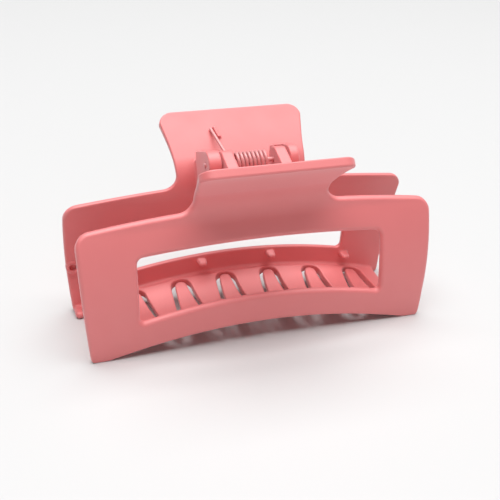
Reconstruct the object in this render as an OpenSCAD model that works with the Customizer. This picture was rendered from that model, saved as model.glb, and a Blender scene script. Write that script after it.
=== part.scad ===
// Claw clip for hair: two sprung jaws that turn on one steel pin.
// Each jaw is one moulding, with a bowed frame round a window, a comb of curved teeth that
// mesh with the other jaw's, a flared thumb grip and a pair of hinge ears.
// Millimetres. X runs along the hinge, the front jaw is on -Y, +Z is up, and the clip
// stands on z = 0 with its origin under the middle of the hinge.

/* [Jaw frame] */
// Length of a jaw across its upper corners
jaw_l = 109; // [106:1:112]
// Length of a jaw across its lower corners, before they are rounded
foot_l = 103.6; // [101:0.2:103.8]
// Wall thickness of both mouldings
wall = 2.2; // [1.8:0.1:2.4]
// Height of the upper corners, where the frame ends and the grip begins
shoulder_z = 38.1; // [37:0.1:39]
// How far the upper edge bows up between its corners
shoulder_bow = 3.6; // [2:0.1:5]
// How far the lower edge bows up, measured over the length of a jaw
foot_bow = 8.1; // [6:0.1:9]
// How far the ends bulge out at mid height
end_bulge = 0.6; // [0:0.1:1]
// Radius of the upper corners
shoulder_r = 4.5; // [2:0.1:6]
// Radius of the lower corners
foot_r = 3; // [1:0.1:4]

/* [Window] */
// Length of the window
window_l = 76; // [70:1:80]
// Height of the window's lower corners
sill_z = 10.7; // [10:0.1:12]
// Height of the window's upper corners
head_z = 30.1; // [28:0.1:32]
// How far the window's lower edge bows up
sill_bow = 4.2; // [3:0.1:5]
// How far the window's upper edge bows up
head_bow = 1.6; // [0:0.1:3]
// Radius of the window's corners
window_r = 1.8; // [0.5:0.1:4]

/* [Grip and cross-section] */
// Width of the grip at its waist
waist_w = 40.3; // [38:0.1:42]
// Width of the grip at its lip
lip_w = 46.4; // [44:0.1:48]
// Radius of the grip's corners
lip_r = 3.4; // [1:0.1:6]
// Radius of the fillet between the grip and the frame
waist_fillet = 4; // [1:0.1:6]
// Half depth of the clip where a jaw is fullest
belly_y = 16.4; // [15.5:0.1:17]
// Height at which a jaw is fullest
belly_z = 8; // [7.5:0.5:10]
// Radius of a jaw's cross-section below the waist
belly_r = 77.7; // [75.8:0.1:80]
// Angle that a jaw leans in where the waist begins, in degrees
waist_lean = 22; // [21.5:0.5:23]
// Radius of the waist
waist_r = 10; // [9.4:0.1:11]
// Angle that the grip leans out where it leaves the waist, in degrees
grip_lean = 46; // [44:0.5:46]
// Radius with which the grip goes on curving out towards its lip
grip_r = 150; // [140:5:200]
// Angle that the grip leans out at its lip, in degrees
lip_lean = 51.8; // [51.4:0.1:53]

/* [Comb] */
// Number of teeth on a jaw
teeth = 7; // [7:1:7]
// Distance between neighbouring teeth of one jaw
pitch = 14.7; // [14.5:0.1:14.8]
// Width of a tooth at its root
root_w = 8.7; // [8:0.1:9.3]
// Width of a tooth at its tip
tip_w = 3.4; // [3:0.1:4]
// Distance from the hinge plane to the roots of the slots
root_y = 12.7; // [12.5:0.1:13]
// Distance that a tooth reaches past the hinge plane
tip_y = 12.2; // [10:0.1:12.2]
// Thickness of the floor that the teeth stand on
floor_t = 2.5; // [2:0.1:3]
// Thickness of a tooth at its tip
tip_t = 1.9; // [1.2:0.1:2]
// How far the middle teeth sag between root and tip
tooth_sag = 3.4; // [2:0.1:4]

/* [Hinge] */
// Height of the hinge axis
hinge_z = 51.4; // [51:0.1:52]
// Diameter of the steel pin
pin_d = 1.4; // [1.2:0.1:1.6]
// How far the pin stands out of the rear ears at each end
pin_proud = 0.5; // [0:0.1:0.6]
// Radial clearance of the pin in the front jaw's ears
pin_gap = 0.05; // [0.02:0.01:0.1]
// Distance from the middle to the inner side of the front ears
front_ear_x = 6.4; // [6.3:0.1:6.6]
// Thickness of a front ear
front_ear_t = 3.5; // [3:0.1:3.6]
// Radius of the front ears about the pin
front_ear_r = 3.7; // [3.4:0.1:3.8]
// Distance from the middle to the inner side of the rear ears
rear_ear_x = 10.5; // [10.4:0.1:10.8]
// Thickness of the left rear ear
left_ear_t = 3.9; // [3.4:0.1:4]
// Thickness of the right rear ear, which the pad behind its neighbour stiffens
right_ear_t = 2.8; // [2.5:0.1:4]
// Radius of the rear ears about the pin
rear_ear_r = 4; // [3.8:0.1:4.2]
// Distance from the hinge plane to the back of the ears
ear_back_y = 7.4; // [7:0.1:7.6]
// Distance from the hinge plane to the back of the left rear ear
left_ear_back_y = 10.4; // [7:0.1:10.4]
// Angle at which the top of an ear falls away from the pin, in degrees
ear_fall = 20; // [15:1:25]
// Angle at which the underside of an ear runs down to the waist, in degrees
ear_under = 39; // [36:1:42]

/* [Spring] */
// Diameter of the spring wire
wire_d = 0.95; // [0.8:0.05:1]
// Outer diameter of the coil
coil_d = 6.5; // [6:0.1:7]
// Full turns of the coil
coil_turns = 8; // [6:1:8]
// Distance from the middle to the left end of the coil
left_coil_x = 5.3; // [5:0.1:5.3]
// Distance from the middle to the right end of the coil
right_coil_x = 4.5; // [4.3:0.1:5.1]
// How far the turns of the coil lean over, as a share of its height
coil_slant = 0.16; // [0:0.02:0.2]
// Distance from the middle to the end of the left spring leg, which bears on the rear jaw
left_leg_x = 7.7; // [7:0.1:7.8]
// Distance from the middle to the end of the right spring leg, which bears on the front jaw
right_leg_x = 5.8; // [5.5:0.1:6]
// Height of the end of each leg, where it bears on its grip
leg_z = 55.7; // [54:0.1:56]

/* [Hidden] */
half_l = jaw_l / 2;
half_foot = foot_l / 2;
coil_r = (coil_d - wire_d) / 2;

// Outline and cross-section
corner_z = -1.8;            // lower corners before the outline is bowed up and cut flat at z = 0
base_z = -3;                // start of the cross-section, below the rest plane
reach = 60;                 // longer than any half length or depth, for cuts that go right through
overlap = 0.4;              // how far fused pieces run into each other
lip_rise = 6;               // height of the wedge that thickens the lip
lip_out = 0.5;              // how far the wedge stands off the outer face
lip_in = 0.3;               // how far it stands off the inner face

// Comb
comb_end = half_foot - 2;   // where both ends of a comb are cut off
cell_slack = 0.05;          // how far the plans of neighbouring teeth run into each other
tip_round = 0.4;            // radius of a tooth's tip corners, as a share of its width there
ledge_low = [-52.2, 9, 0];  // corners of the ledge beside a comb's last slot
ledge_high = [-50, 15, 2.2];

// Pegs on the bar under the window
nub_x = [-38.2, -10.9, 12.3, 38.9];
nub_size = [3, 1.6];        // width and height
nub_l = 3.2;                // length
nub_r = 0.6;                // radius of the edges
nub_rise = 0.7;             // height on the bar, as a share of the way up it

// Boss on the rear jaw, with a blind hole
boss_at = [-51.8, 16];      // x and z
boss_r = 2.1;
boss_l = 1;                 // how far it stands off the inner face
boss_hole_r = 1.1;
boss_hole_l = 0.6;          // how far the hole goes into the wall

// Ears, measured from the belly and from the hinge axis
ear_root_in = 7;            // from the belly to the end of an ear's root
ear_root_drop = 7.5;        // from the axis down to that end
ear_back_drop = 6;          // from the axis down to the lower end of an ear's back
pad_x = 7.8;                // inner side of the pad behind the front ear
pad_y = 1.2;                // front of that pad
pad_gap = 0.5;              // clearance between the pad and the front ear

// Spring legs and the ribs beside them
leg_gap = 0.1;              // clearance between a spring leg's end and its grip
rib_size = [1.2, 3.7, 0.9]; // width, length up the grip, height off it
rib_gap = 0.2;              // clearance between a rib and its leg
rib_drop = 1.2;             // how far the rib's middle is below the end of its spring leg
rib_turn = 15;              // angle that the rib leans over, as the leg beside it does

// Smoothness
step = 4;                   // longest straight stretch of an outline
corner_n = 6;               // stretches in a rounded corner
section_n = [16, 14, 4];    // stretches in the arcs of the belly, the waist and the grip
round_n = 64;               // sides of a round piece or hole
coil_n = 16;                // stretches in a turn of the coil
wire_n = 8;                 // sides of the wire

// ---- Functions ----

function mix(a, b, t) = a + (b - a) * t;
function clamp01(t) = max(0, min(1, t));
function last(v) = v[len(v) - 1];
function rest(v) = [for (i = [1:len(v) - 1]) v[i]];
function reverse(v) = [for (i = [len(v) - 1:-1:0]) v[i]];
function unit(v) = v / norm(v);
function wrap(a) = a > 180 ? a - 360 : a < -180 ? a + 360 : a;

// Points of an arc that starts at p with lean a0 and ends with lean a1. Leans are measured
// from +Z towards +Y, and r is negative where the lean gets smaller.
function arc(p, r, a0, a1, n = 10) =
    [for (i = [0:n]) let(a = mix(a0, a1, i / n)) p + r * [cos(a0) - cos(a), sin(a) - sin(a0)]];

// Cross-section of a jaw as [y, z] points, d millimetres inside its outer face
function face(d) =
    let(a0 = asin((belly_z - base_z) / belly_r),
        foot = [belly_y - belly_r * (1 - cos(a0)), base_z] - d * [cos(a0), -sin(a0)],
        belly = arc(foot, d - belly_r, a0, -waist_lean, section_n[0]),
        waist = arc(last(belly), d + waist_r, -waist_lean, grip_lean, section_n[1]),
        grip = arc(last(waist), d + grip_r, grip_lean, lip_lean, section_n[2]))
    concat(belly, rest(waist), rest(grip));

// Distance from the hinge plane to the surface d inside the outer face, at height z in the grip
function grip_y(d, z) = lookup(z, [for (q = face(d)) if (q[1] > hinge_z - waist_r) [q[1], q[0]]]);

// Wedge that thickens the grip towards its lip, as [y, z] points
function lip_wedge() =
    let(out = last(face(0)), in = last(face(wall)),
        up = [sin(lip_lean), cos(lip_lean)], off = [cos(lip_lean), -sin(lip_lean)])
    [out - lip_rise * up, out + lip_out * off, in - lip_in * off, in - lip_rise * up];

// Polygon p with corner i rounded to radius r[i]
function rounded(p, r) = [
    for (i = [0:len(p) - 1])
    let(u = unit(p[(i + len(p) - 1) % len(p)] - p[i]),
        v = unit(p[(i + 1) % len(p)] - p[i]),
        half = acos(u * v) / 2,
        centre = p[i] + unit(u + v) * r[i] / sin(half),
        from = p[i] + u * r[i] / tan(half) - centre,
        to = p[i] + v * r[i] / tan(half) - centre,
        a = atan2(from[1], from[0]),
        turn = wrap(atan2(to[1], to[0]) - a) / corner_n)
    each r[i] == 0 ? [p[i]] :
        [for (k = [0:corner_n]) centre + r[i] * [cos(a + turn * k), sin(a + turn * k)]]
];

// Polygon p with its long sides cut into stretches
function divided(p) = [
    for (i = [0:len(p) - 1])
    let(q = p[(i + 1) % len(p)], n = max(1, ceil(norm(q - p[i]) / step)))
    for (k = [0:n - 1]) mix(p[i], q, k / n)
];

// Polygon p with each point raised by a bow that is zero at x = half. The bow's height goes
// from low_bow at low_z to high_bow at high_z.
function bowed(p, half, low_z, low_bow, high_z, high_bow) = [
    for (q = p)
    let(bow = mix(low_bow, high_bow, clamp01((q[1] - low_z) / (high_z - low_z))))
    [q[0], q[1] + bow * (1 - pow(q[0] / half, 2))]
];

// List v followed by its reverse, and a right half outline followed by its mirror image
function there_and_back(v) = concat(v, reverse(v));
function both_sides(p) = concat(p, reverse([for (q = p) [-q[0], q[1]]]));

// Front view of a jaw without its window, as [x, z] points. The bow fades out up the grip,
// the ends bulge, and the lower corners are cut flat where the clip stands.
function outline() =
    let(lip_z = last(face(wall))[1],
        right = [[half_foot, corner_z], [half_l, shoulder_z], [waist_w / 2, shoulder_z], [lip_w / 2, lip_z]],
        flat = divided(rounded(both_sides(right), there_and_back([foot_r, shoulder_r, waist_fillet, lip_r]))),
        frame = bowed(flat, half_l, corner_z, foot_bow, shoulder_z, shoulder_bow))
    [for (i = [0:len(flat) - 1])
        let(up = clamp01((flat[i][1] - corner_z) / (shoulder_z - corner_z)),
            fade = clamp01((flat[i][1] - shoulder_z) / (lip_z - shoulder_z)),
            bulge = 1 + end_bulge / half_l * 4 * up * (1 - up))
        [flat[i][0] * bulge, max(0, mix(frame[i][1], flat[i][1], fade))]];

// Front view of the window
function window() =
    let(h = window_l / 2,
        corners = [[h, sill_z], [h, head_z]],
        flat = divided(rounded(both_sides(corners), there_and_back([window_r, window_r]))))
    bowed(flat, h, sill_z, sill_bow, head_z, head_bow);

// Height of a jaw's lower edge at x, and the share of the full bow that is left there
function edge_z(x) = corner_z + foot_bow * (1 - pow(x / half_l, 2));
function edge_slope(x) = -2 * foot_bow * x / pow(half_l, 2);
function bow_left(x) = max(0, 1 - pow(x / half_foot, 2));

// Centres of the rear jaw's teeth. The front jaw's are their mirror images, so the two
// combs mesh.
function tooth_x(i) = (i - (teeth - 1) / 2 + 0.25) * pitch;

// Side view of a tooth as [y, z] points above its root's underside
function tooth_side(sag) =
    let(n = 10, mid = (root_y - tip_y) / 2, half = (root_y + tip_y) / 2,
        ys = [for (i = [0:n]) mix(root_y, -tip_y, i / n)],
        dip = [for (y = ys) [y, -sag * (1 - pow((y - mid) / half, 2))]],
        top = [for (q = dip) q + [0, mix(floor_t, tip_t, (root_y - q[0]) / (root_y + tip_y))]])
    concat([[root_y + overlap, 0]], dip, reverse(top), [[root_y + overlap, floor_t]]);

// Plan of one tooth with its share of the floor, as [x, y] points
function tooth_plan() =
    let(cell = pitch / 2 + cell_slack, back = root_y + overlap,
        slot_r = (pitch - root_w) / 2 - cell_slack, tip_r = tip_w * tip_round)
    rounded([[cell, back], [cell, root_y], [root_w / 2, root_y], [tip_w / 2, -tip_y],
             [-tip_w / 2, -tip_y], [-root_w / 2, root_y], [-cell, root_y], [-cell, back]],
            [0, 0, slot_r, tip_r, tip_r, slot_r, 0, 0]);

// ---- Shapes ----

// A [y, z] outline extruded along X from x0 to x1
module along_x(x0, x1) {
    translate([x0, 0, 0]) rotate([90, 0, 90]) linear_extrude(x1 - x0) children();
}

// An [x, z] outline extruded along Y from y0 to y1
module along_y(y0, y1) {
    translate([0, y1, 0]) rotate([90, 0, 0]) linear_extrude(y1 - y0) children();
}

// A cylinder round the hinge axis from x0 to x1
module about_hinge(r, x0, x1) {
    translate([x0, 0, hinge_z]) rotate([0, 90, 0]) cylinder(r = r, h = x1 - x0, $fn = round_n);
}

// Children, and their mirror images in the plane x = 0
module left_and_right() {
    children();
    mirror([1, 0, 0]) children();
}

// The moulded sheet of the rear jaw: frame and grip
module sheet() {
    intersection() {
        along_x(-reach, reach) {
            polygon(concat(face(0), reverse(face(wall))));
            polygon(lip_wedge());
        }
        along_y(0, reach) polygon(outline());
    }
}

// Floor that joins the teeth to the wall along the lower edge
module comb_floor() {
    n = 24;
    xs = [for (i = [0:n]) mix(-comb_end, comb_end, i / n)];
    under = [for (x = xs) [x, max(0, edge_z(x))]];
    top = [for (x = xs) [x, edge_z(x) + floor_t]];
    along_y(root_y, belly_y - wall) polygon(concat(under, reverse(top)));
}

module tooth(x) {
    translate([x, 0, edge_z(x)]) rotate([0, -atan(edge_slope(x)), 0])
    intersection() {
        along_x(-pitch, pitch) polygon(tooth_side(tooth_sag * bow_left(x)));
        translate([0, 0, -pitch]) linear_extrude(2 * pitch) polygon(tooth_plan());
    }
}

module comb() {
    intersection() {
        union() {
            comb_floor();
            for (i = [0:teeth - 1]) tooth(tooth_x(i));
        }
        translate([-comb_end, -reach, 0]) cube([2 * comb_end, 2 * reach, reach]);
    }
}

// Small pegs on the inside of the bar under the window
module nubs() {
    w = nub_size[0] / 2;
    h = nub_size[1] / 2;
    for (x = nub_x) {
        z = mix(edge_z(x) + floor_t, sill_z + sill_bow * (1 - pow(2 * x / window_l, 2)), nub_rise);
        along_y(belly_y - wall - nub_l, belly_y - wall + overlap) translate([x, z])
            polygon(rounded([[w, -h], [w, h], [-w, h], [-w, -h]], [nub_r, nub_r, nub_r, nub_r]));
    }
}

// Low rib on the inside of the grip that keeps the spring leg at leg_x from sliding sideways
module leg_rib(leg_x) {
    z = leg_z - rib_drop;
    x = -leg_x + wire_d / 2 + rib_gap + rib_size[1] / 2 * tan(rib_turn);
    translate([x, grip_y(wall, z), z]) rotate([-grip_lean, 0, 0]) rotate([0, -rib_turn, 0])
        translate([0, -rib_size[2], -rib_size[1] / 2])
        cube([rib_size[0], rib_size[2] + overlap, rib_size[1]]);
}

// Small ledge in the corner beside the comb's last slot
module corner_ledge() {
    intersection() {
        translate(ledge_low) cube(ledge_high - ledge_low);
        along_y(0, reach) polygon(outline());
    }
}

// What both jaws share, as the rear jaw has it: sheet, comb, ledge, pegs, and a rib for its
// spring leg
module jaw_body(leg_x) {
    difference() {
        union() {
            sheet();
            comb();
            corner_ledge();
            nubs();
            leg_rib(leg_x);
        }
        along_y(0, reach) polygon(window());
    }
}

// Side view of an ear: round about the pin, flat behind, and rooted in the waist
module ear_side(r, back_y = ear_back_y) {
    ear_root_y = belly_y - ear_root_in;
    from_top = r * [sin(ear_fall), cos(ear_fall)];
    from_under = r * [-sin(ear_under), -cos(ear_under)];
    translate([0, hinge_z]) {
        circle(r = r, $fn = round_n);
        polygon([
            [0, 0], from_top,
            [back_y, from_top[1] - (back_y - from_top[0]) * tan(ear_fall)],
            [back_y, -ear_back_drop], [ear_root_y, -ear_root_drop],
            [ear_root_y, from_under[1] - (ear_root_y - from_under[0]) * tan(ear_under)],
            from_under
        ]);
    }
}

module rear_ears() {
    along_x(-rear_ear_x - left_ear_t, -rear_ear_x) ear_side(rear_ear_r, left_ear_back_y);
    along_x(rear_ear_x, rear_ear_x + right_ear_t) ear_side(rear_ear_r);
}

// Pad beside the right rear ear that closes the space behind the front ear
module ear_pad() {
    difference() {
        along_x(pad_x, rear_ear_x + overlap) ear_side(rear_ear_r);
        about_hinge(front_ear_r + pad_gap, 0, rear_ear_x);
        translate([0, pad_y - reach, 0]) cube([rear_ear_x, reach, reach]);
    }
}

module rear_jaw() {
    color("lightcoral")
    difference() {
        union() {
            jaw_body(left_leg_x);
            rear_ears();
            ear_pad();
            along_y(belly_y - wall - boss_l, belly_y - wall / 2)
                translate(boss_at) circle(r = boss_r, $fn = round_n);
        }
        about_hinge(pin_d / 2, -reach, reach);
        along_y(0, belly_y - wall + boss_hole_l)
            translate(boss_at) circle(r = boss_hole_r, $fn = round_n);
    }
}

module front_jaw() {
    color("lightcoral")
    rotate([0, 0, 180])
    difference() {
        union() {
            jaw_body(right_leg_x);
            left_and_right() along_x(front_ear_x, front_ear_x + front_ear_t) ear_side(front_ear_r);
        }
        about_hinge(pin_d / 2 + pin_gap, -reach, reach);
    }
}

module hinge_pin() {
    color("rosybrown")
    about_hinge(pin_d / 2, -rear_ear_x - left_ear_t - pin_proud, rear_ear_x + right_ear_t + pin_proud);
}

// A wire swept along the points p
module wire(p) {
    n = len(p);
    rings = [
        for (i = [0:n - 1])
        let(t = unit(p[min(i + 1, n - 1)] - p[max(i - 1, 0)]),
            v = unit([1, 0, 0] - t[0] * t),
            w = cross(t, v))
        for (k = [0:wire_n - 1])
            p[i] + wire_d / 2 * (cos(360 * k / wire_n) * v + sin(360 * k / wire_n) * w)
    ];
    sides = [
        for (i = [0:n - 2], k = [0:wire_n - 1])
        let(a = i * wire_n + k, b = i * wire_n + (k + 1) % wire_n)
        each [[b + wire_n, b, a], [a + wire_n, b + wire_n, a]]
    ];
    polyhedron(rings, concat([[for (k = [0:wire_n - 1]) k]], sides,
                             [[for (k = [wire_n - 1:-1:0]) (n - 1) * wire_n + k]]));
}

// The coil winds round the pin. Both legs leave its underside, and each one rises to the
// inside of its grip, so that squeezing the grips winds the coil tighter.
module torsion_spring() {
    leg_y = grip_y(wall, leg_z) - (wire_d / 2 + leg_gap) / cos(grip_lean);
    rise = atan((leg_z - hinge_z + coil_r) / leg_y);
    turn = 360 * coil_turns + 2 * rise;
    n = ceil(turn / 360 * coil_n);
    coil = [
        for (i = [0:n])
        let(a = rise - 90 - turn * i / n)
        [mix(-left_coil_x, right_coil_x, i / n) - coil_slant * coil_r * sin(a),
         coil_r * cos(a), hinge_z + coil_r * sin(a)]
    ];
    color("rosybrown")
    wire(concat([[-left_leg_x, leg_y, leg_z]], coil, [[right_leg_x, -leg_y, leg_z]]));
}

rear_jaw();
front_jaw();
hinge_pin();
torsion_spring();
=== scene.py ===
import math

import bpy
import numpy as np
from mathutils import Matrix, Vector


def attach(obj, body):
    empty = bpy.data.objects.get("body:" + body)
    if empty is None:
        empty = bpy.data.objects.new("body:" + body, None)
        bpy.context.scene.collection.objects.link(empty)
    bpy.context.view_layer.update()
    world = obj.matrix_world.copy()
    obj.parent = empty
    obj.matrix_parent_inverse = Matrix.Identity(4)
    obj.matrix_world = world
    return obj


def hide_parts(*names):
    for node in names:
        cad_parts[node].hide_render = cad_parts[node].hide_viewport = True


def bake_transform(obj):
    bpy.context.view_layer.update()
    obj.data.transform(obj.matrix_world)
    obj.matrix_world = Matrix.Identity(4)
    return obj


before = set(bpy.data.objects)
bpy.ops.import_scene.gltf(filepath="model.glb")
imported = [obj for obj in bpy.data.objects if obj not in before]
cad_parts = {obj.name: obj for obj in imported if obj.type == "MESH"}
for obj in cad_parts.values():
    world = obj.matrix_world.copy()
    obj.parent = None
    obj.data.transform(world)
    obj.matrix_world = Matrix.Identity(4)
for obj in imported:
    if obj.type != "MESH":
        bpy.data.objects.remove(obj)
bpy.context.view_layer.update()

MM = 0.001
DEG = math.pi / 180

# ---- Sizes, in millimetres unless they say otherwise ----

WALL = 2.2                 # wall of both jaws
FOOT_EDGE_R, OUTER_EDGE_R, LIP_EDGE_R = 0.4, 1.3, 0.7   # rounding of the outer face's edges, going up
INNER_EDGE_R = 0.5         # rounding of the inner face's edges
FLOOR_EDGE_R = 0.2         # rounding where a jaw is cut level at the floor

# Cross-section of a jaw: three arcs, given for the outer face
BELLY_Y, BELLY_Z, BELLY_R = 16.4, 8.0, 77.7
WAIST_LEAN, WAIST_R = 22 * DEG, 10.0
GRIP_LEAN, GRIP_R = 46 * DEG, 150.0
LIP_LEAN = 51.8 * DEG
BASE_Z = -3.0

# Front view of a jaw
HALF_L, HALF_FOOT = 54.75, 52.0
CORNER_Z, SHOULDER_Z = -2.0, 38.1
FOOT_BOW, SHOULDER_BOW = 8.1, 3.6
END_BULGE = 0.6
FOOT_R, SHOULDER_R, WAIST_FILLET, LIP_R = 3.0, 3.8, 4.0, 4.6
HALF_WAIST, HALF_LIP, GRIP_DENT = 20.15, 23.2, 0.6
LIP_OUT, LIP_IN, LIP_RISE = 0.5, 0.3, 7.0     # how the wall thickens towards its lip, on each face
HALF_WINDOW, SILL_Z, HEAD_Z = 37.8, 10.85, 30.1
SILL_BOW, HEAD_BOW = 4.2, 1.6
WINDOW_R = 1.8

# Comb
TEETH, PITCH = 7, 14.7
ROOT_W, TIP_W = 8.7, 3.4
ROOT_Y, TIP_Y = 12.7, 12.2
FLOOR_T, TIP_T = 2.5, 1.9
TOOTH_SAG = 3.4
COMB_END = 49.8
COMB_EDGE_R = 0.4
SLOT_R = 2.8
TIP_ROUND = 0.46           # radius of a tooth's tip corners, as a share of its width there
COMB_BACK, COMB_PAST = 2.3, 6.0    # how far the plan runs into the wall, and past the comb's ends
SAG_SOFT = 0.06            # how gently the sag fades out beyond a tooth's tip
LEDGE = ((-52.2, 9.0, 0.0), (-48.0, 15.0, 2.2))       # ledge in the corner beside the last slot
LEDGE_END, LEDGE_R = -50.0, 1.1

# Hinge
HINGE_Z = 51.4
PIN_R, PIN_PROUD, PIN_GAP = 0.7, 0.5, 0.05
FRONT_EAR = (6.4, 9.9, 3.7)      # inner side, outer side, radius
REAR_EAR_L = (-14.4, -10.5, 4.0)
REAR_EAR_R = (10.5, 13.3, 4.0)
EAR_BACK_Y, LEFT_EAR_BACK_Y = 7.4, 10.4
EAR_FALL, EAR_UNDER = 20 * DEG, 39 * DEG
EAR_EDGE_R = 0.4
EAR_ROOT_IN, EAR_ROOT_DROP, EAR_BACK_DROP = 7.0, 7.5, 6.0    # from the belly, and down from the pin
EAR_FILLET, PAD_FILLET, PAD_EDGE_R = 0.8, 0.25, 0.2
HINGE_ROOM = ((-5, -14), (12, 5))  # (y, z) of the box about the pin that holds every ear
BORE_GAP, BORE_EDGE_R = 0.03, 0.1
PAD_X, PAD_GAP, PAD_Y = 7.8, 0.5, 1.2

# Small features inside the jaws
NUB_X = (-38.2, -10.9, 12.3, 38.9)
NUB_W, NUB_H, NUB_L, NUB_DROOP = 1.5, 0.8, 3.2, 0.4
NUB_RISE, NUB_TAPER = 0.7, 0.25            # height up the bar, and narrowing, as shares
NUB_SUNK, NUB_R = 0.8, 0.78
RIB = (1.2, 3.7, 0.9)      # width, length up the grip, height off it
RIB_SLANT, RIB_DROP, RIB_GAP = 0.27, 1.2, 0.2
RIB_ROOM = ((12, 50), (19, 58))   # (y, z) of a box that holds the rib
COMB_FILLET, SMALL_FILLET, RIB_FILLET, RIB_EDGE_R = 0.9, 0.5, 0.3, 0.3
BOSS_X, BOSS_Z, BOSS_R, BOSS_HOLE_R = -51.8, 16.0, 2.1, 1.1
BOSS_L, BOSS_SUNK, BOSS_HOLE_L = 1.0, 1.1, 0.6         # off the inner face; boss and hole into the wall
BOSS_EDGE_R, BOSS_FILLET, HOLE_EDGE_R = 0.3, 0.25, 0.2

# Spring
WIRE_R, COIL_R, COIL_TURNS = 0.475, 2.775, 8
COIL_X = (-5.3, 4.5)
COIL_SLANT = 0.16          # how far the coil's turns lean over
LEFT_LEG_X, RIGHT_LEG_X, LEG_Z, LEG_GAP = 7.7, 5.8, 55.7, 0.1

GRID = 0.4      # spacing of the jaws' meshes
FAR = 1e3                              # distance of a shape that isn't near


# ---- Distance fields ----

def mix(a, b, t):
    return a + (b - a) * t


def fillet_union(a, b, r):
    """Union of two fields, with the corner between them filled to radius r."""
    return np.maximum(r, np.minimum(a, b)) - np.hypot(np.maximum(r - a, 0), np.maximum(r - b, 0))


def rounded_cut(a, b, r):
    """Intersection of two fields, with the edge between them rounded to radius r."""
    qa, qb = a + r, b + r
    return np.minimum(np.maximum(qa, qb), 0) + np.hypot(np.maximum(qa, 0), np.maximum(qb, 0)) - r


def polygon_distance(x, y, points):
    """Signed distance from (x, y) to a closed polygon, negative inside."""
    best = np.full(x.shape, np.inf)
    inside = np.zeros(x.shape, bool)
    for (ax, ay), (bx, by) in zip(points, np.roll(points, -1, axis=0)):
        ex, ey = bx - ax, by - ay
        wx, wy = x - ax, y - ay
        t = np.clip((wx * ex + wy * ey) / (ex * ex + ey * ey + 1e-12), 0, 1)
        best = np.minimum(best, (wx - t * ex) ** 2 + (wy - t * ey) ** 2)
        if ay != by:
            crosses = (y >= min(ay, by)) & (y < max(ay, by))
            inside ^= crosses & (x < ax + (y - ay) * ex / ey)
    return np.where(inside, -1, 1) * np.sqrt(best)


class Table:
    """A field of two coordinates, kept on a grid and read between its points."""

    def __init__(self, function, low, high, step=0.2):
        self.low, self.step = low, step
        axes = [np.arange(a, b + step, step) for a, b in zip(low, high)]
        x, y = np.meshgrid(*axes, indexing="ij")
        self.values = function(x, y)

    def __call__(self, x, y):
        nx, ny = self.values.shape
        u = np.clip((x - self.low[0]) / self.step, 0, nx - 1.001)
        v = np.clip((y - self.low[1]) / self.step, 0, ny - 1.001)
        i, j = u.astype(np.int64), v.astype(np.int64)
        u -= i
        v -= j
        f = self.values
        return ((f[i, j] * (1 - u) + f[i + 1, j] * u) * (1 - v)
                + (f[i, j + 1] * (1 - u) + f[i + 1, j + 1] * u) * v)


# ---- Outlines ----

def rounded(points, radii, n=14):
    """A polygon with each corner replaced by an arc of its radius."""
    out = []
    for i, (p, r) in enumerate(zip(points, radii)):
        p = np.array(p, float)
        if r == 0:
            out.append(p)
            continue
        u = np.array(points[i - 1], float) - p
        v = np.array(points[(i + 1) % len(points)], float) - p
        u, v = u / np.linalg.norm(u), v / np.linalg.norm(v)
        half = math.acos(float(np.clip(u @ v, -1, 1))) / 2
        centre = p + (u + v) / np.linalg.norm(u + v) * r / math.sin(half)
        a, b = p + u * r / math.tan(half) - centre, p + v * r / math.tan(half) - centre
        start = math.atan2(a[1], a[0])
        turn = (math.atan2(b[1], b[0]) - start + math.pi) % (2 * math.pi) - math.pi
        out += [centre + r * np.array([math.cos(start + turn * k / n), math.sin(start + turn * k / n)])
                for k in range(n + 1)]
    return np.array(out)


def divided(points, step=1.0):
    """A polygon with its long sides cut into short ones."""
    out = []
    for p, q in zip(points, np.roll(points, -1, axis=0)):
        n = max(1, math.ceil(np.linalg.norm(q - p) / step))
        out += [mix(p, q, k / n) for k in range(n)]
    return np.array(out)


def both_sides(right):
    return right + [(-x, y) for x, y in reversed(right)]


def there_and_back(v):
    return v + v[::-1]


def bow_share(x):
    return 1 - (x / HALF_L) ** 2


# Centres of the three arcs of the cross-section, as (y, z). All faces of the wall share them.
BELLY_C = np.array([BELLY_Y - BELLY_R, BELLY_Z])
WAIST_C = BELLY_C + (BELLY_R + WAIST_R) * np.array([math.cos(WAIST_LEAN), math.sin(WAIST_LEAN)])
GRIP_C = WAIST_C - (WAIST_R - GRIP_R) * np.array([math.cos(GRIP_LEAN), -math.sin(GRIP_LEAN)])
FOOT_LEAN = math.asin((BELLY_Z - BASE_Z) / BELLY_R)
BELLY_S = (BELLY_R - WALL / 2) * (FOOT_LEAN + WAIST_LEAN)
WAIST_S = BELLY_S + (WAIST_R + WALL / 2) * (WAIST_LEAN + GRIP_LEAN)
GRIP_S = WAIST_S + (GRIP_R + WALL / 2) * (LIP_LEAN - GRIP_LEAN)


def face_point(depth, s):
    """The point (y, z) that lies depth inside the outer face, s up the wall's middle."""
    s = np.asarray(s, float)
    a = FOOT_LEAN - s / (BELLY_R - WALL / 2)
    b = (s - BELLY_S) / (WAIST_R + WALL / 2) - WAIST_LEAN
    c = (s - WAIST_S) / (GRIP_R + WALL / 2) + GRIP_LEAN
    y = np.select([s < BELLY_S, s < WAIST_S],
                  [BELLY_C[0] + (BELLY_R - depth) * np.cos(a), WAIST_C[0] - (WAIST_R + depth) * np.cos(b)],
                  GRIP_C[0] - (GRIP_R + depth) * np.cos(c))
    z = np.select([s < BELLY_S, s < WAIST_S],
                  [BELLY_C[1] - (BELLY_R - depth) * np.sin(a), WAIST_C[1] + (WAIST_R + depth) * np.sin(b)],
                  GRIP_C[1] + (GRIP_R + depth) * np.sin(c))
    return y, z


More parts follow.
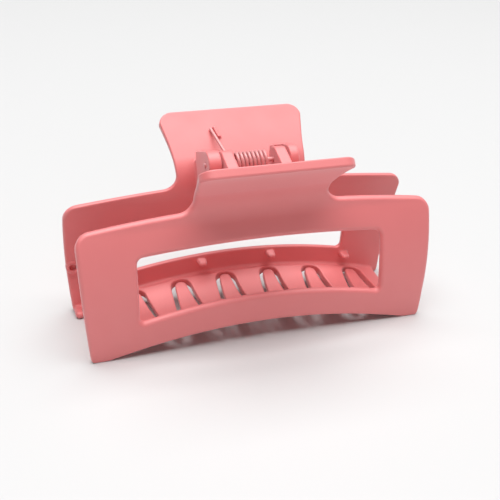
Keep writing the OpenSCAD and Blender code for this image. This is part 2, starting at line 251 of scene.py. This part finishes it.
def wall_place(y, z):
    """How far up the wall's middle a point is, and its depth inside the outer face."""
    by, bz = y - BELLY_C[0], z - BELLY_C[1]
    wy, wz = WAIST_C[0] - y, z - WAIST_C[1]
    gy, gz = GRIP_C[0] - y, z - GRIP_C[1]
    below = bz * math.cos(WAIST_LEAN) < by * math.sin(WAIST_LEAN)
    in_waist = np.arctan2(wz, wy)
    waist = in_waist < GRIP_LEAN
    s = np.select([below, waist],
                  [(BELLY_R - WALL / 2) * (FOOT_LEAN + np.arctan2(bz, by)),
                   BELLY_S + (WAIST_R + WALL / 2) * (in_waist + WAIST_LEAN)],
                  WAIST_S + (GRIP_R + WALL / 2) * (np.arctan2(gz, gy) - GRIP_LEAN))
    depth = np.select([below, waist],
                      [BELLY_R - np.hypot(by, bz), np.hypot(wy, wz) - WAIST_R],
                      np.hypot(gy, gz) - GRIP_R)
    return s, depth


LINE_S = np.linspace(0, GRIP_S, 600)
LINE_Z = face_point(WALL / 2, LINE_S)[1]
LIP_Z = float(LINE_Z[-1])


def up_wall(points):
    """An outline seen from the front, laid along the wall: (x, z) becomes (x, s)."""
    return np.stack([points[:, 0], np.interp(points[:, 1], LINE_Z, LINE_S)], axis=1)


def jaw_outline():
    right = [(HALF_FOOT, CORNER_Z), (HALF_L, SHOULDER_Z), (HALF_WAIST, SHOULDER_Z), (HALF_LIP, LIP_Z)]
    flat = divided(rounded(both_sides(right), there_and_back([FOOT_R, SHOULDER_R, WAIST_FILLET, 0])))
    x, z = flat.T
    up = np.clip((z - CORNER_Z) / (SHOULDER_Z - CORNER_Z), 0, 1)
    fade = np.clip((z - SHOULDER_Z) / (LIP_Z - SHOULDER_Z), 0, 1)
    bow = mix(FOOT_BOW, SHOULDER_BOW, up) * bow_share(x) * (1 - fade)
    bulge = 1 + END_BULGE / HALF_L * 4 * up * (1 - up)
    dent = 1 - GRIP_DENT / HALF_WAIST * np.sin(math.pi * fade) ** 2
    return up_wall(np.stack([x * bulge * dent, np.maximum(z + bow, 0)], axis=1))


def window_outline():
    corners = both_sides([(HALF_WINDOW, SILL_Z), (HALF_WINDOW, HEAD_Z)])
    flat = divided(rounded(corners, [WINDOW_R] * 4))
    x, z = flat.T
    up = np.clip((z - SILL_Z) / (HEAD_Z - SILL_Z), 0, 1)
    bow = mix(SILL_BOW, HEAD_BOW, up) * (1 - (x / HALF_WINDOW) ** 2)
    return up_wall(np.stack([x, z + bow], axis=1))


def tooth_x(i):
    return (i - (TEETH - 1) / 2 + 0.25) * PITCH


def comb_outline():
    """Plan of the rear comb: the floor along the wall, the teeth, and the U of each slot."""
    back, end = ROOT_Y + COMB_BACK, COMB_END + COMB_PAST
    points, radii = [(end, back), (end, ROOT_Y)], [0, 0]
    for i in reversed(range(TEETH)):
        x = tooth_x(i)
        points += [(x + ROOT_W / 2, ROOT_Y), (x + TIP_W / 2, -TIP_Y),
                   (x - TIP_W / 2, -TIP_Y), (x - ROOT_W / 2, ROOT_Y)]
        radii += [SLOT_R, TIP_W * TIP_ROUND, TIP_W * TIP_ROUND, SLOT_R]
    return rounded(points + [(-end, ROOT_Y), (-end, back)], radii + [0, 0])


def ear_outline(r, back_y):
    """Side view of an ear behind its round end, as (y, z) about the pin."""
    top = (r * math.sin(EAR_FALL), r * math.cos(EAR_FALL))
    under = (-r * math.sin(EAR_UNDER), -r * math.cos(EAR_UNDER))
    root = BELLY_Y - EAR_ROOT_IN
    return np.array([
        (0, 0), top, (back_y, top[1] - (back_y - top[0]) * math.tan(EAR_FALL)),
        (back_y, -EAR_BACK_DROP), (root, -EAR_ROOT_DROP),
        (root, under[1] - (root - under[0]) * math.tan(EAR_UNDER)), under])


# ---- Tables of the outlines ----

OUTLINE, WINDOW, COMB_PLAN = jaw_outline(), window_outline(), comb_outline()


def front_view(x, s):
    """Distance from the edges of the wall, whose lip has round corners."""
    side = (HALF_LIP - HALF_WAIST) / (LIP_Z - SHOULDER_Z) * math.cos(LIP_LEAN)
    beside_lip = (x - HALF_LIP - (s - GRIP_S) * side) / math.hypot(1, side)
    lip = np.where(s > GRIP_S - 2 * LIP_R, rounded_cut(beside_lip, s - GRIP_S, LIP_R), -FAR)
    frame_edge = np.maximum(polygon_distance(x, s, OUTLINE), -polygon_distance(x, s, WINDOW))
    return np.maximum(frame_edge, lip)


FRONT_VIEW = Table(front_view, (-0.4, -1), (57, GRIP_S + 3))
PLAN = Table(lambda x, y: polygon_distance(x, y, COMB_PLAN), (-56, -16), (56, 20))


def ear_table(r, back_y):
    def side(y, z):
        return np.minimum(np.hypot(y, z) - r, polygon_distance(y, z, ear_outline(r, back_y)))

    return Table(side, (-8, -22), (14, 8), 0.1)


REAR_EARS = (REAR_EAR_L, LEFT_EAR_BACK_Y), (REAR_EAR_R, EAR_BACK_Y)
EAR = {(ear[2], back_y): ear_table(ear[2], back_y) for ear, back_y in ((FRONT_EAR, EAR_BACK_Y), *REAR_EARS)}

TOOTH_MID, TOOTH_HALF = (ROOT_Y - TIP_Y) / 2, (ROOT_Y + TIP_Y) / 2
SAG_X = np.ravel([(tooth_x(i) - ROOT_W / 2, tooth_x(i) + ROOT_W / 2) for i in range(TEETH)])
SAG = np.ravel([[TOOTH_SAG * max(0, 1 - (tooth_x(i) / HALF_FOOT) ** 2)] * 2 for i in range(TEETH)])


# ---- The jaws, in the rear jaw's place ----

def edge_z(x):
    return CORNER_Z + FOOT_BOW * bow_share(x)


def rounded_box(x, y, z, low, high, r):
    parts = [np.abs(v - (a + b) / 2) - (b - a) / 2 + r for v, a, b in zip((x, y, z), low, high)]
    out = np.sqrt(sum(np.maximum(p, 0) ** 2 for p in parts))
    return out + np.minimum(np.maximum(np.maximum(parts[0], parts[1]), parts[2]), 0) - r


def near(shape, x, y, z, low, high, room=3.0):
    """A shape's field, worked out only where it is within reach of the box low to high."""
    close = np.ones(x.shape, bool)
    for v, a, b in zip((x, y, z), low, high):
        close &= (v > a - room) & (v < b + room)
    out = np.full(x.shape, FAR)
    out[close] = shape(x[close], y[close], z[close])
    return out


def wall(x, y, z):
    s, depth = wall_place(y, z)
    edge = FRONT_VIEW(np.abs(x), s)
    outer_r = np.interp(s, (4, 12, WAIST_S, GRIP_S - 4),
                        (FOOT_EDGE_R, OUTER_EDGE_R, OUTER_EDGE_R, LIP_EDGE_R))
    lip = np.clip(1 - (GRIP_S - s) / LIP_RISE, 0, 1) ** 2
    return np.maximum(rounded_cut(-depth - LIP_OUT * lip, edge, outer_r),
                      rounded_cut(depth - WALL - LIP_IN * lip, edge, INNER_EDGE_R))


def comb(x, y, z):
    slope = -2 * FOOT_BOW * x / HALF_L ** 2
    rise = z - edge_z(x)
    along = x + rise * slope / (1 + slope ** 2)
    height = rise / np.sqrt(1 + slope ** 2)
    sag = np.interp(along, SAG_X, SAG)
    g = 1 - ((y - TOOTH_MID) / TOOTH_HALF) ** 2
    soft = np.sqrt(g * g + SAG_SOFT ** 2)
    dip = -sag * (g + soft) / 2
    lean = sag * (1 + g / soft) * (y - TOOTH_MID) / TOOTH_HALF ** 2
    thick = mix(FLOOR_T, TIP_T, np.clip((ROOT_Y - y) / (ROOT_Y + TIP_Y), 0, 1))
    sheet = (np.abs(height - dip - thick / 2) - thick / 2) / np.sqrt(1 + lean ** 2)
    plan = np.maximum(PLAN(along, y), np.abs(x) - COMB_END)
    return rounded_cut(rounded_cut(sheet, plan, COMB_EDGE_R), -z, COMB_EDGE_R)


def ledge(x, y, z):
    return rounded_cut(rounded_box(x, y, z, *LEDGE, LEDGE_R), x - LEDGE_END, 0.2)


def nub(x0):
    z0 = mix(edge_z(x0) + FLOOR_T, SILL_Z + SILL_BOW * (1 - (x0 / HALF_WINDOW) ** 2), NUB_RISE)
    foot_y = BELLY_Y - WALL

    def shape(x, y, z):
        out = np.clip((foot_y - y) / NUB_L, 0, 1)
        taper = 1 - NUB_TAPER * out ** 2
        return rounded_box((x - x0) / taper, y, (z - z0 + NUB_DROOP * out ** 2) / taper,
                           (-NUB_W, foot_y - NUB_L, -NUB_H), (NUB_W, foot_y + NUB_SUNK, NUB_H), NUB_R)

    return shape, (x0 - NUB_W, foot_y - NUB_L, z0 - NUB_H), (x0 + NUB_W, foot_y, z0 + NUB_H)


NUBS = [nub(x) for x in NUB_X]
RIB_S = float(np.interp(LEG_Z - RIB_DROP, face_point(WALL, LINE_S)[1], LINE_S))


def body(x, y, z, leg_x):
    """What both jaws share: the wall, the comb, the nubs, and a rib for the spring leg."""
    f = fillet_union(wall(x, y, z), comb(x, y, z), COMB_FILLET)
    f = fillet_union(f, near(ledge, x, y, z, *LEDGE), SMALL_FILLET)
    for shape, low, high in NUBS:
        f = fillet_union(f, near(shape, x, y, z, low, high), SMALL_FILLET)

    def rib(x, y, z):
        s, depth = wall_place(y, z)
        return rounded_box(x + RIB_SLANT * (s - RIB_S), s, depth, (rib_x, RIB_S - RIB[1] / 2, WALL - 0.4),
                           (rib_x + RIB[0], RIB_S + RIB[1] / 2, WALL + RIB[2]), RIB_EDGE_R)

    rib_x = -leg_x + WIRE_R + RIB_GAP + RIB_SLANT * RIB[1] / 2
    f = fillet_union(f, near(rib, x, y, z, (rib_x, *RIB_ROOM[0]), (rib_x + RIB[0], *RIB_ROOM[1])), RIB_FILLET)
    return rounded_cut(f, -z, FLOOR_EDGE_R)


def ear(x, y, z, x0, x1, r, back_y=EAR_BACK_Y):
    side = EAR[r, back_y](y, z - HINGE_Z)
    return rounded_cut(side, np.abs(x - (x0 + x1) / 2) - (x1 - x0) / 2, EAR_EDGE_R)


def pad(x, y, z):
    """Pad behind the front jaw's right ear, hollowed so that the ear can turn in it."""
    f = ear(x, y, z, PAD_X, REAR_EAR_R[0] + 1, REAR_EAR_R[2])
    hollow = FRONT_EAR[2] + PAD_GAP - np.hypot(y, z - HINGE_Z)
    return rounded_cut(rounded_cut(f, hollow, PAD_EDGE_R), PAD_Y - y, PAD_EDGE_R)


def hinge_box(x0, x1):
    (y0, z0), (y1, z1) = HINGE_ROOM
    return (x0, y0, HINGE_Z + z0), (x1, y1, HINGE_Z + z1)


def bored(f, y, z, r):
    return rounded_cut(f, r - np.hypot(y, z - HINGE_Z), BORE_EDGE_R)


def rear_jaw(x, y, z):
    f = body(x, y, z, LEFT_LEG_X)
    for sizes, back_y in REAR_EARS:
        beside = near(lambda x, y, z: ear(x, y, z, *sizes, back_y), x, y, z, *hinge_box(*sizes[:2]))
        f = fillet_union(f, beside, EAR_FILLET)
    f = fillet_union(f, near(pad, x, y, z, *hinge_box(PAD_X, REAR_EAR_R[0])), PAD_FILLET)
    foot_y = BELLY_Y - WALL
    across = np.hypot(x - BOSS_X, z - BOSS_Z)
    boss_y = np.abs(y - foot_y - (BOSS_SUNK - BOSS_L) / 2) - (BOSS_SUNK + BOSS_L) / 2
    boss = rounded_cut(across - BOSS_R, boss_y, BOSS_EDGE_R)
    f = fillet_union(f, boss, BOSS_FILLET)
    f = rounded_cut(f, -np.maximum(across - BOSS_HOLE_R, y - foot_y - BOSS_HOLE_L), HOLE_EDGE_R)
    return bored(f, y, z, PIN_R + BORE_GAP)


def front_jaw(x, y, z):
    f = body(x, y, z, RIGHT_LEG_X)
    x0, x1, r = FRONT_EAR
    for a, b in ((x0, x1), (-x1, -x0)):
        beside = near(lambda x, y, z: ear(x, y, z, a, b, r), x, y, z, *hinge_box(a, b))
        f = fillet_union(f, beside, EAR_FILLET)
    return bored(f, y, z, PIN_R + PIN_GAP)


# ---- Meshing ----

CORNERS = np.array([(i, j, k) for i in (0, 1) for j in (0, 1) for k in (0, 1)])
CELL_EDGES = [(a, b) for a in range(8) for b in range(a + 1, 8) if np.abs(CORNERS[a] - CORNERS[b]).sum() == 1]


def surface_net(field, low, high, step):
    """Points and quads of the surface where the field is zero, one point in each cell it crosses."""
    low = np.array(low, float)
    axes = [np.arange(a, b + step, step) for a, b in zip(low, high)]
    values = np.concatenate([field(*np.meshgrid(part, axes[1], axes[2], indexing="ij"))
                             for part in np.array_split(axes[0], 16)])
    inside = values < 0
    nx, ny, nz = inside.shape
    count = sum(inside[i:nx - 1 + i, j:ny - 1 + j, k:nz - 1 + k].astype(np.int8) for i, j, k in CORNERS)
    crossed = (count > 0) & (count < 8)
    cells = np.argwhere(crossed)
    index = np.full(crossed.shape, -1)
    index[crossed] = np.arange(len(cells))
    f = [values[tuple((cells + c).T)] for c in CORNERS]
    total, hits = np.zeros((len(cells), 3)), np.zeros((len(cells), 1))
    for a, b in CELL_EDGES:
        hit = (f[a] < 0) != (f[b] < 0)
        t = np.where(hit, f[a] / np.where(hit, f[a] - f[b], 1), 0)[:, None]
        total += np.where(hit[:, None], mix(CORNERS[a], CORNERS[b], t), 0)
        hits += hit[:, None]
    points = low + (cells + total / hits) * step

    quads = []
    for a in range(3):
        b, c = (a + 1) % 3, (a + 2) % 3
        cut = [slice(1, -1)] * 3
        cut[a] = slice(None, -1)
        here = inside[tuple(cut)]
        cut[a] = slice(1, None)
        change = here != inside[tuple(cut)]
        at = np.argwhere(change)
        ring = []
        for db, dc in ((0, 0), (1, 0), (1, 1), (0, 1)):
            cell = at.copy()
            cell[:, b] += db
            cell[:, c] += dc
            ring.append(index[tuple(cell.T)])
        quad = np.stack(ring, axis=1)
        outward = here[change]
        quad[~outward] = quad[~outward][:, ::-1]
        quads.append(quad)
    return points, np.concatenate(quads)


def slopes(field, p, d=0.02):
    """The field and its gradient at points p."""
    value = field(*p.T)
    steps = np.eye(3) * d
    return value, np.stack([(field(*(p + e).T) - field(*(p - e).T)) / (2 * d) for e in steps], axis=1)


def settled(field, p, quads, step):
    """Points evened out along the surface and drawn onto it, and the surface's normals there."""
    ends = np.concatenate([quads[:, [0, 1]], quads[:, [1, 2]], quads[:, [2, 3]], quads[:, [3, 0]]])
    for round_no in range(5):
        value, g = slopes(field, p)
        square = np.maximum((g * g).sum(1), 0.05)
        move = -(value / square)[:, None] * g
        far = np.linalg.norm(move, axis=1) / (0.5 * step)
        p = p + move / np.maximum(far, 1)[:, None]
        if round_no in (1, 2):
            near_sum = np.stack([np.bincount(ends[:, 0], p[ends[:, 1], i], len(p)) for i in range(3)], axis=1)
            shift = near_sum / np.bincount(ends[:, 0], minlength=len(p))[:, None] - p
            normal = g / np.sqrt(square)[:, None]
            shift -= (shift * normal).sum(1)[:, None] * normal
            p = p + 0.5 * shift
    g = slopes(field, p)[1]
    return p, g / np.maximum(np.linalg.norm(g, axis=1), 1e-6)[:, None]


def mesh_object(name, points, faces, normals=None):
    """An object from points in millimetres and faces as rows of point numbers."""
    mesh = bpy.data.meshes.new(name)
    size = faces.shape[1]
    mesh.vertices.add(len(points))
    mesh.vertices.foreach_set("co", (points * MM).astype(np.float32).ravel())
    mesh.loops.add(faces.size)
    mesh.loops.foreach_set("vertex_index", faces.astype(np.int32).ravel())
    mesh.polygons.add(len(faces))
    mesh.polygons.foreach_set("loop_start", np.arange(0, faces.size, size, dtype=np.int32))
    mesh.update(calc_edges=True)
    mesh.validate()
    mesh.polygons.foreach_set("use_smooth", np.ones(len(mesh.polygons), bool))
    if normals is not None:
        mesh.normals_split_custom_set_from_vertices(normals.tolist())
    piece = bpy.data.objects.new(name, mesh)
    bpy.context.collection.objects.link(piece)
    return piece


def jaw_object(name, field, turned):
    low, high = (-56, -13.2, -0.9), (56, 26.4, 61.8)
    points, quads = surface_net(field, low, high, GRID)
    points, normals = settled(field, points, quads, GRID)
    if turned:
        points, normals = points * (-1, -1, 1), normals * (-1, -1, 1)
    return mesh_object(name, points, quads, normals)


# ---- Wire and pin ----

def tube(name, path, r, reference, sides=20, dome=0.5):
    """A round wire along path, in millimetres, with its ends domed by that share of r."""
    path = np.array(path, float)
    along = np.gradient(path, axis=0)
    along /= np.linalg.norm(along, axis=1)[:, None]
    across = np.array(reference, float) - (along @ np.array(reference, float))[:, None] * along
    across /= np.linalg.norm(across, axis=1)[:, None]
    third = np.cross(along, across)
    cap = [(math.sin(a), math.cos(a) * dome) for a in np.linspace(0, math.pi / 2, 6)[1:]]
    last = len(path) - 1
    stations = [(0, size, -push) for size, push in cap] + [(i, 1, 0) for i in range(1, last)]
    stations += [(last, size, push) for size, push in reversed(cap)]
    turn = np.arange(sides) * 2 * math.pi / sides
    rings = [path[i] + r * (push * along[i] + size * (np.outer(np.cos(turn), across[i])
                                                      + np.outer(np.sin(turn), third[i])))
             for i, size, push in stations]
    tips = [path[0] - r * dome * along[0], path[last] + r * dome * along[last]]
    points = np.concatenate(rings + [tips])
    first = np.arange(len(rings) - 1)[:, None] * sides
    k, k2 = np.arange(sides), (np.arange(sides) + 1) % sides
    a, b = (first + k).ravel(), (first + k2).ravel()
    end = (len(rings) - 1) * sides
    low_tip, high_tip = np.full(sides, end + sides), np.full(sides, end + sides + 1)
    faces = [(a, b, b + sides), (a, b + sides, a + sides), (low_tip, k2, k), (high_tip, end + k, end + k2)]
    return mesh_object(name, points, np.concatenate([np.stack(f, axis=1) for f in faces]))


def spring_path():
    """The coil round the pin, and a leg from its underside up to each grip."""
    face_y, face_z = face_point(WALL, LINE_S)
    leg_y = float(np.interp(LEG_Z, face_z, face_y)) - (WIRE_R + LEG_GAP) / math.cos(GRIP_LEAN)
    rise = math.atan((LEG_Z - HINGE_Z + COIL_R) / leg_y)
    t = np.linspace(0, 1, 48 * (COIL_TURNS + 1))
    a = rise - math.pi / 2 - (2 * math.pi * COIL_TURNS + 2 * rise) * t
    coil = np.stack([mix(*COIL_X, t) - COIL_SLANT * COIL_R * np.sin(a),
                     COIL_R * np.cos(a), HINGE_Z + COIL_R * np.sin(a)], axis=1)
    rear_end, front_end = np.array([(-LEFT_LEG_X, leg_y, LEG_Z), (RIGHT_LEG_X, -leg_y, LEG_Z)])
    u = np.linspace(0, 1, 40, endpoint=False)[:, None]
    path = np.concatenate([mix(rear_end, coil[0], u), coil, mix(front_end, coil[-1], u)[::-1]])
    for _ in range(12):
        path[1:-1] = (path[:-2] + 2 * path[1:-1] + path[2:]) / 4
    return path


# ---- Materials ----

PAINT_IOR, PAINT_SHEEN, SHEEN_ROUGHNESS = 2.4, 0.45, 0.6   # the pale haze of lit faces
SHEEN_TINT = (1.0, 0.94, 0.97, 1)
CLOUD_SCALE, GLOSS_SCALE, GRAIN_SCALE = 45, 160, 3800
GLOSS_SPREAD = 0.02
GRAIN_DEPTH = 0.00004                  # in metres


def painted(name, light, dark, roughness, grain):
    """Soft-touch paint: a faint cloudiness in its colour and gloss, over a fine grain."""
    material = bpy.data.materials.new(name)
    material.use_nodes = True
    nodes, links = material.node_tree.nodes, material.node_tree.links
    shader = nodes["Principled BSDF"]
    place = nodes.new("ShaderNodeTexCoord")

    def noise(scale, detail):
        node = nodes.new("ShaderNodeTexNoise")
        node.inputs["Scale"].default_value = scale
        node.inputs["Detail"].default_value = detail
        links.new(place.outputs["Object"], node.inputs["Vector"])
        return node.outputs["Fac"]

    def spread(value, low, high):
        node = nodes.new("ShaderNodeMapRange")
        node.inputs["From Min"].default_value, node.inputs["From Max"].default_value = 0.3, 0.7
        node.inputs["To Min"].default_value, node.inputs["To Max"].default_value = low, high
        links.new(value, node.inputs["Value"])
        return node.outputs["Result"]

    clouds = noise(CLOUD_SCALE, 3)
    colour = nodes.new("ShaderNodeMix")
    colour.data_type = "RGBA"
    colour.inputs["A"].default_value = (*dark, 1)
    colour.inputs["B"].default_value = (*light, 1)
    links.new(spread(clouds, 0, 1), colour.inputs["Factor"])
    links.new(colour.outputs["Result"], shader.inputs["Base Color"])
    gloss = spread(noise(GLOSS_SCALE, 4), roughness - GLOSS_SPREAD, roughness + GLOSS_SPREAD)
    links.new(gloss, shader.inputs["Roughness"])

    bump = nodes.new("ShaderNodeBump")
    bump.inputs["Strength"].default_value = grain
    bump.inputs["Distance"].default_value = GRAIN_DEPTH
    links.new(noise(GRAIN_SCALE, 2), bump.inputs["Height"])
    links.new(bump.outputs["Normal"], shader.inputs["Normal"])
    shader.inputs["IOR"].default_value = PAINT_IOR
    shader.inputs["Sheen Weight"].default_value = PAINT_SHEEN
    shader.inputs["Sheen Roughness"].default_value = SHEEN_ROUGHNESS
    shader.inputs["Sheen Tint"].default_value = SHEEN_TINT
    return material


def stood_on(name, colour, roughness):
    """The floor's material: paper white, very slightly uneven."""
    material = bpy.data.materials.new(name)
    material.use_nodes = True
    nodes, links = material.node_tree.nodes, material.node_tree.links
    shader = nodes["Principled BSDF"]
    shader.inputs["Base Color"].default_value = (*colour, 1)
    shader.inputs["Roughness"].default_value = roughness
    place, noise, bump = (nodes.new("ShaderNode" + kind) for kind in ("TexCoord", "TexNoise", "Bump"))
    noise.inputs["Scale"].default_value = 900
    bump.inputs["Strength"].default_value = 0.05
    bump.inputs["Distance"].default_value = 0.0001
    links.new(place.outputs["Object"], noise.inputs["Vector"])
    links.new(noise.outputs["Fac"], bump.inputs["Height"])
    links.new(bump.outputs["Normal"], shader.inputs["Normal"])
    return material


# ---- The clip ----

def add_piece(piece, material, node):
    piece.data.materials.append(material)
    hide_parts(node)
    return piece


coral = painted("coral_soft_touch", (0.76, 0.095, 0.096), (0.74, 0.088, 0.089), 0.62, 0.25)
coral_paint = painted("coral_paint", (0.66, 0.170, 0.170), (0.63, 0.155, 0.155), 0.50, 0.15)

rear = add_piece(jaw_object("rear_jaw_moulding", rear_jaw, False), coral, "rear_jaw")
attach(rear, "rear_jaw")
front = add_piece(jaw_object("front_jaw_moulding", front_jaw, True), coral, "front_jaw")
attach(front, "front_jaw")

pin_ends = REAR_EAR_L[0] - PIN_PROUD, REAR_EAR_R[1] + PIN_PROUD
pin_path = [(x, 0, HINGE_Z) for x in np.linspace(pin_ends[0] + PIN_R * 0.3, pin_ends[1] - PIN_R * 0.3, 40)]
pin = add_piece(tube("steel_pin", pin_path, PIN_R, (0, 1, 0), 32, 0.3),
                coral_paint, "hinge_pin")
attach(pin, "rear_jaw")

spring = add_piece(tube("coil_spring", spring_path(), WIRE_R, (1, 0, 0)),
                   coral_paint, "torsion_spring")
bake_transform(spring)


# ---- Floor, light and camera ----

FLOOR = 3.0                # half width, in metres
floor = mesh_object("floor", np.array([(-1, -1, 0), (1, -1, 0), (1, 1, 0), (-1, 1, 0)]) * FLOOR / MM,
                    np.array([[0, 1, 2, 3]]))
floor.data.materials.append(stood_on("white_paper", (0.62, 0.62, 0.62), 0.7))


def area_light(name, place, aim, size, power, colour=(1, 1, 1)):
    light = bpy.data.lights.new(name, "AREA")
    light.shape = "RECTANGLE"
    light.size, light.size_y = size
    light.energy = power
    light.color = colour
    lamp = bpy.data.objects.new(name, light)
    lamp.location = place
    lamp.rotation_euler = (Vector(aim) - Vector(place)).to_track_quat("-Z", "Y").to_euler()
    bpy.context.collection.objects.link(lamp)


area_light("top_softbox", (0, 0.1, 1.6), (0, 0, 0.03), (1.8, 1.8), 50)
area_light("right_softbox", (1.2, -0.1, 1.2), (0, 0, 0.03), (1.2, 1.2), 4)
area_light("front_softbox", (-0.3, -1.7, 0.5), (0, 0, 0.03), (1.6, 1.0), 6)

world = bpy.data.worlds.new("studio")
world.use_nodes = True
world.node_tree.nodes["Background"].inputs["Color"].default_value = (1, 1, 1, 1)
world.node_tree.nodes["Background"].inputs["Strength"].default_value = 0.02
bpy.context.scene.world = world
bpy.context.scene.view_settings.view_transform = "Standard"

CAMERA_PLACE = (-0.091298, -0.250205, 0.159228)
CAMERA_AXES = ((0.94484434, 0.11704844, -0.30589022),      # columns: right, up, back
               (-0.32527635, 0.44448038, -0.83464513),
               (0.03826829, 0.88810858, 0.45803786))
FOCAL_LENGTH, SENSOR = 70.37, 36.0

camera_data = bpy.data.cameras.new("camera")
camera_data.sensor_fit = "HORIZONTAL"
camera_data.sensor_width = SENSOR
camera_data.lens = FOCAL_LENGTH
camera_data.clip_start, camera_data.clip_end = 0.01, 20
camera = bpy.data.objects.new("camera", camera_data)
camera.matrix_world = Matrix.Translation(CAMERA_PLACE) @ Matrix(CAMERA_AXES).to_4x4()
bpy.context.collection.objects.link(camera)
bpy.context.scene.camera = camera
